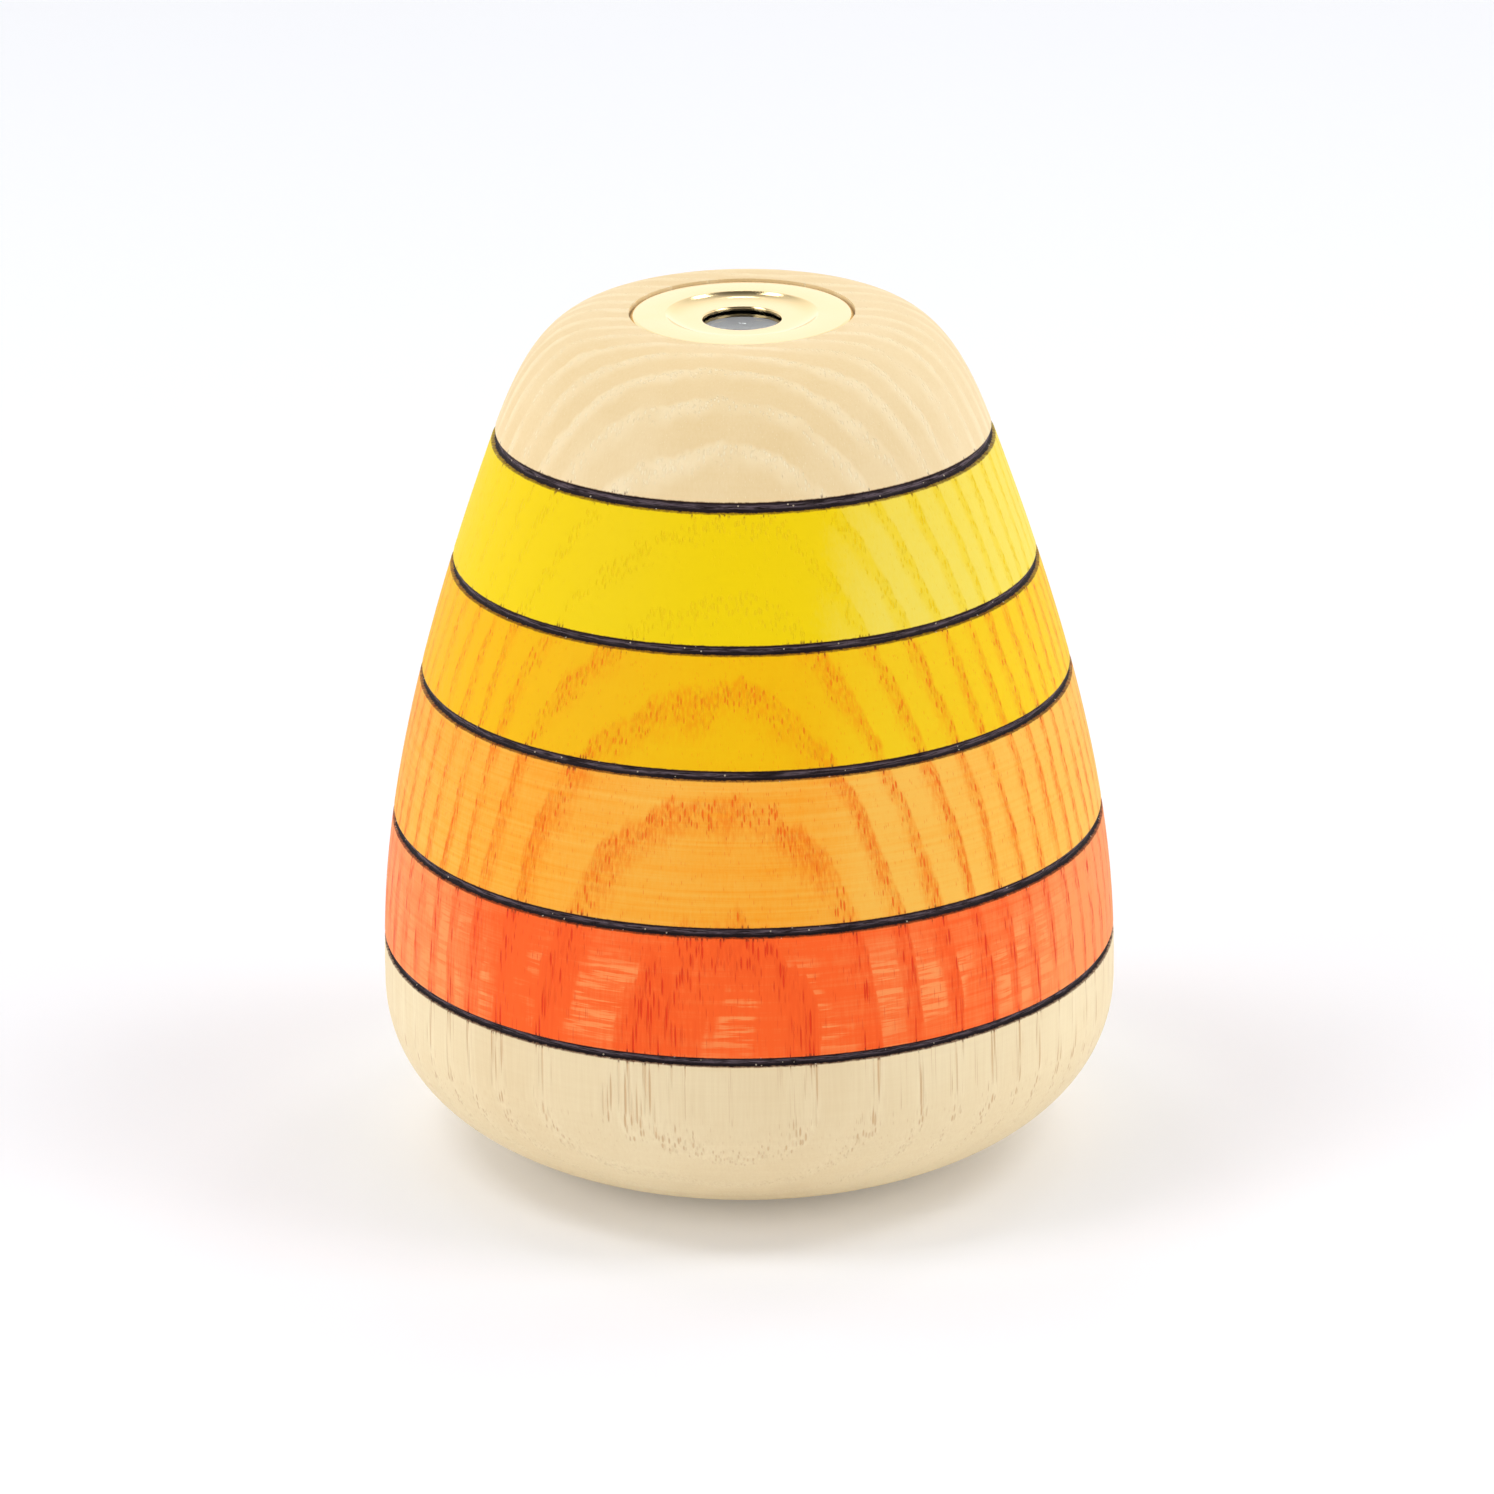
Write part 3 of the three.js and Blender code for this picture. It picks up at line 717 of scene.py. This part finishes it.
def grooved_outline():
    """The outline with its grooves: (radius, height) points, and how deep each is cut."""
    legs = np.hypot(*np.diff(OUTLINE, axis=0).T)
    along = np.concatenate([[0], np.cumsum(legs)])
    middles = np.interp(GROOVE_HEIGHTS, OUTLINE[:, 1], along)
    stations = list(np.arange(0, along[-1], OUTLINE_STEP)) + [along[-1]]
    reach = 0.75 * max(GROOVE_WIDTHS)
    stations = [s for s in stations if np.abs(middles - s).min() > reach]
    for middle in middles:
        stations += list(np.linspace(middle - reach, middle + reach, 2 * GROOVE_STEPS + 1))
    stations = np.array(sorted(stations))
    radii = np.interp(stations, along, OUTLINE[:, 0])
    heights = np.interp(stations, along, OUTLINE[:, 1])
    tangents = np.gradient(OUTLINE, along, axis=0)
    inward = np.stack([-np.interp(stations, along, tangents[:, 1]),
                       np.interp(stations, along, tangents[:, 0])], axis=1)
    inward /= np.hypot(*inward.T)[:, None]
    depths = np.zeros(len(stations))
    for middle, width in zip(middles, GROOVE_WIDTHS):
        depths += [groove_shape(s - middle, width) for s in stations]
    points = np.stack([radii, heights], axis=1) + inward * depths[:, None]
    return points, depths


def turned_body():
    """The wood: a fine lathe with grooves whose floors are a little uneven."""
    outside, depths = grooved_outline()
    inside = rounded([
        (SEAT_RADIUS, BODY_HEIGHT), (SEAT_RADIUS, SEAT_FLOOR),
        (BARREL_BORE, SEAT_FLOOR), (BARREL_BORE, CHAMBER_TOP),
        (CHAMBER_RADIUS, CHAMBER_TOP), (CHAMBER_RADIUS, LENS_SHOULDER),
        (LENS_SEAT_RADIUS, LENS_SHOULDER), (LENS_SEAT_RADIUS, MOUTH_CHAMFER),
        (LENS_SEAT_RADIUS + MOUTH_CHAMFER, 0),
    ], BORE_EDGE, steps=2, closed=False)
    profile = [tuple(p) for p in outside] + inside

    def wobble(k, angle):
        if k >= len(depths) or depths[k] == 0:
            return 0.0
        place = Vector((6 * math.cos(angle), 6 * math.sin(angle), 0.8 * profile[k][1]))
        return GROOVE_WANDER * noise.noise(place * 3) * depths[k] / GROOVE_DEPTH

    vertices, faces = lathe(profile, BODY_SEGMENTS, wobble)
    add_piece("wooden_body", vertices, faces, stained_ash(),
              ["turned_body"], smooth=50)


# ---- Pieces made again from their CAD outline ---------------------------------


def cad_profile(node):
    """The closed outline of a turned CAD node, read where it crosses the XZ plane."""
    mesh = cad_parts[node].data
    places = {}

    def key(index):
        c = mesh.vertices[index].co / MM
        if abs(c.y) > NEAR or c.x < -NEAR:
            return None
        name = (round(c.x, 3), round(c.z, 3))
        places[name] = (c.x, c.z)
        return name

    joined = {}
    for edge in mesh.edges:
        a, b = (key(index) for index in edge.vertices)
        if a is not None and b is not None and a != b:
            joined.setdefault(a, set()).add(b)
            joined.setdefault(b, set()).add(a)
    start = max(joined)
    walk = [start]
    step = min(joined[start], key=lambda name: name[1])
    while step != start:
        walk.append(step)
        onward = [name for name in joined[step] if name != walk[-2]]
        step = min(onward, key=lambda name: math.dist(name, step))
    return [places[name] for name in walk]


def dish(rim, lip):
    """The eyepiece's dish as (radius, height) points, from the lip out to the rim."""
    points = []
    for step in range(DISH_STEPS, -1, -1):
        across = step / DISH_STEPS
        fall = 1 - (1 - across) ** DISH_STEEPNESS
        points.append((rim[0] + (lip[0] - rim[0]) * across, rim[1] + (lip[1] - rim[1]) * fall))
    return points


def brass_eyepiece(material):
    """The eyepiece's CAD outline with a smooth dish and broken edges."""
    outline = cad_profile("eyepiece_ring")
    top = max(height for _, height in outline)
    on_dish = [k for k, (radius, height) in enumerate(outline)
               if radius < DISH_RADIUS + NEAR and height > top - DISH_DEPTH - NEAR]
    first, last = on_dish[0], on_dish[-1]
    outline[first:last + 1] = dish(outline[last], outline[first])
    vertices, faces = lathe(rounded(outline, EYEPIECE_EDGE), EYEPIECE_SEGMENTS)
    add_piece("brass_eyepiece", vertices, faces, material,
              ["eyepiece_ring"])


def brass_retainer(material):
    """The ring in the foot as a finer mesh, with its edges broken."""
    outline = rounded(cad_profile("objective_retaining_ring"), RETAINER_EDGE)
    vertices, faces = lathe(outline, RING_SEGMENTS)
    add_piece("brass_retainer", vertices, faces, material,
              ["objective_retaining_ring"])


def lens(node, name, material, rim):
    """A plano-convex lens with its flat face up, as large as its CAD node."""
    low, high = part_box(node)
    radius = high.x / MM
    bottom, top = low.z / MM, high.z / MM
    rise = top - bottom - rim
    curvature = (radius ** 2 + rise ** 2) / (2 * rise)
    profile = [(0, top), (radius - LENS_CHAMFER, top), (radius, top - LENS_CHAMFER),
               (radius, top - rim)]
    widest = math.asin(radius / curvature)
    for step in range(1, LENS_STEPS + 1):
        angle = widest * (1 - step / LENS_STEPS)
        profile.append((curvature * math.sin(angle),
                        bottom + curvature * (1 - math.cos(angle))))
    vertices, faces = capped_lathe(profile, LENS_SEGMENTS)
    add_piece(name, vertices, faces, material, [node])


def rubber_cushion(material):
    """The ring under the lens: a round section on a round path."""
    low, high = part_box("lens_cushion_ring")
    section = (high.z - low.z) / 2 / MM
    middle = (high.z + low.z) / 2 / MM
    path = high.x / MM - section
    profile = [(path + section * math.cos(t), middle + section * math.sin(t))
               for t in np.linspace(0, 2 * math.pi, SECTION_STEPS, endpoint=False)]
    vertices, faces = lathe(profile, RING_SEGMENTS)
    add_piece("rubber_cushion", vertices, faces, material,
              ["lens_cushion_ring"], smooth=80)


def keep_node(node, material, edge):
    """A CAD node as it is, with its own material and lightly broken edges."""
    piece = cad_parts[node]
    piece.data.materials.clear()
    piece.data.materials.append(material)
    bevel = piece.modifiers.new("edges", "BEVEL")
    bevel.width = edge * MM
    bevel.segments = 2
    bevel.limit_method = "ANGLE"
    bevel.angle_limit = math.radians(40)


# ---- Stage -----------------------------------------------------------------


def add_floor():
    corners = [(x * FLOOR_REACH, y * FLOOR_REACH, 0)
               for x, y in ((-1, -1), (1, -1), (1, 1), (-1, 1))]
    mesh = bpy.data.meshes.new("floor")
    mesh.from_pydata(corners, [], [(0, 1, 2, 3)])
    mesh.materials.append(glowing_pale_floor())
    floor = bpy.data.objects.new("floor", mesh)
    bpy.context.scene.collection.objects.link(floor)


def add_softbox(name, place, size, watts):
    light = bpy.data.lights.new(name, "AREA")
    light.shape = "RECTANGLE"
    light.size, light.size_y = size
    light.energy = watts
    box = bpy.data.objects.new(name, light)
    box.location = place
    aim = Vector(LIGHT_TARGET) - Vector(place)
    box.rotation_euler = aim.to_track_quat("-Z", "Y").to_euler()
    bpy.context.scene.collection.objects.link(box)


def add_tent():
    """A white light tent all round, bright behind and dim at its opening in front."""
    world = bpy.data.worlds.new("light_tent")
    world.use_nodes = True
    tree = world.node_tree
    tree.nodes.clear()
    where = tree.nodes.new("ShaderNodeTexCoord")
    facing = tree.nodes.new("ShaderNodeVectorMath")
    facing.operation = "DOT_PRODUCT"
    facing.inputs[1].default_value = (0, -math.cos(TENT_OPENING), math.sin(TENT_OPENING))
    turned = tree.nodes.new("ShaderNodeMapRange")
    turned.inputs["From Min"].default_value = -1
    strength = tree.nodes.new("ShaderNodeFloatCurve")
    curve = strength.mapping.curves[0]
    for point, place in zip(curve.points, (TENT_CURVE[0], TENT_CURVE[-1])):
        point.location = place
    for place in TENT_CURVE[1:-1]:
        curve.points.new(*place)
    strength.mapping.update()
    scale = tree.nodes.new("ShaderNodeMath")
    scale.operation = "MULTIPLY"
    scale.inputs[1].default_value = TENT_BRIGHTNESS
    back = tree.nodes.new("ShaderNodeBackground")
    back.inputs["Color"].default_value = TENT_COLOUR
    output = tree.nodes.new("ShaderNodeOutputWorld")
    tree.links.new(where.outputs["Generated"], facing.inputs[0])
    tree.links.new(facing.outputs["Value"], turned.inputs["Value"])
    tree.links.new(turned.outputs[0], strength.inputs["Value"])
    tree.links.new(strength.outputs[0], scale.inputs[0])
    tree.links.new(scale.outputs[0], back.inputs["Strength"])
    tree.links.new(back.outputs[0], output.inputs["Surface"])
    bpy.context.scene.world = world


def add_camera():
    """A long lens, from a little above, tipped by less than a degree."""
    data = bpy.data.cameras.new("camera")
    data.sensor_width = 36
    data.lens = CAMERA_LENS
    camera = bpy.data.objects.new("camera", data)
    eye = Vector((0, -math.cos(CAMERA_RISE), math.sin(CAMERA_RISE))) * CAMERA_DISTANCE
    eye.z += CAMERA_PIVOT_HEIGHT
    aim = Vector((0, 0, CAMERA_AIM_HEIGHT)) - eye
    turn = aim.to_track_quat("-Z", "Y").to_matrix().to_4x4()
    camera.matrix_world = Matrix.Translation(eye) @ turn @ Matrix.Rotation(CAMERA_ROLL, 4, "Z")
    bpy.context.scene.collection.objects.link(camera)
    bpy.context.scene.camera = camera


def build():
    brass = polished_brass()
    glass = lens_glass()
    rubber = black_stuff("black_rubber", RUBBER, 4.0, 0.5, 0.01)
    card = black_stuff("black_card", CARD, 7.0, 0.8, 0.02)
    foam = black_foam()
    silver = silvered_glass()

    turned_body()
    brass_eyepiece(brass)
    lens("eye_lens", "small_lens", glass, EYE_LENS_RIM)
    lens("objective_lens", "large_lens", glass, OBJECTIVE_RIM)
    rubber_cushion(rubber)
    brass_retainer(brass)

    keep_node("eye_lens_clip", spring_steel(), 0.08)
    keep_node("eye_stop_disc", card, 0.05)
    keep_node("mirror_left", silver, 0.1)
    keep_node("mirror_right", silver, 0.1)
    keep_node("black_wall", card, 0.08)
    keep_node("prism_wrap", card, 0.06)
    keep_node("lower_centring_ring", foam, 0.15)
    keep_node("upper_centring_ring", foam, 0.15)
    keep_node("lens_spacer", foam, 0.12)

    add_camera()
    add_floor()
    add_tent()
    for softbox in SOFTBOXES:
        add_softbox(*softbox)
    bpy.context.scene.view_settings.view_transform = "Standard"


build()
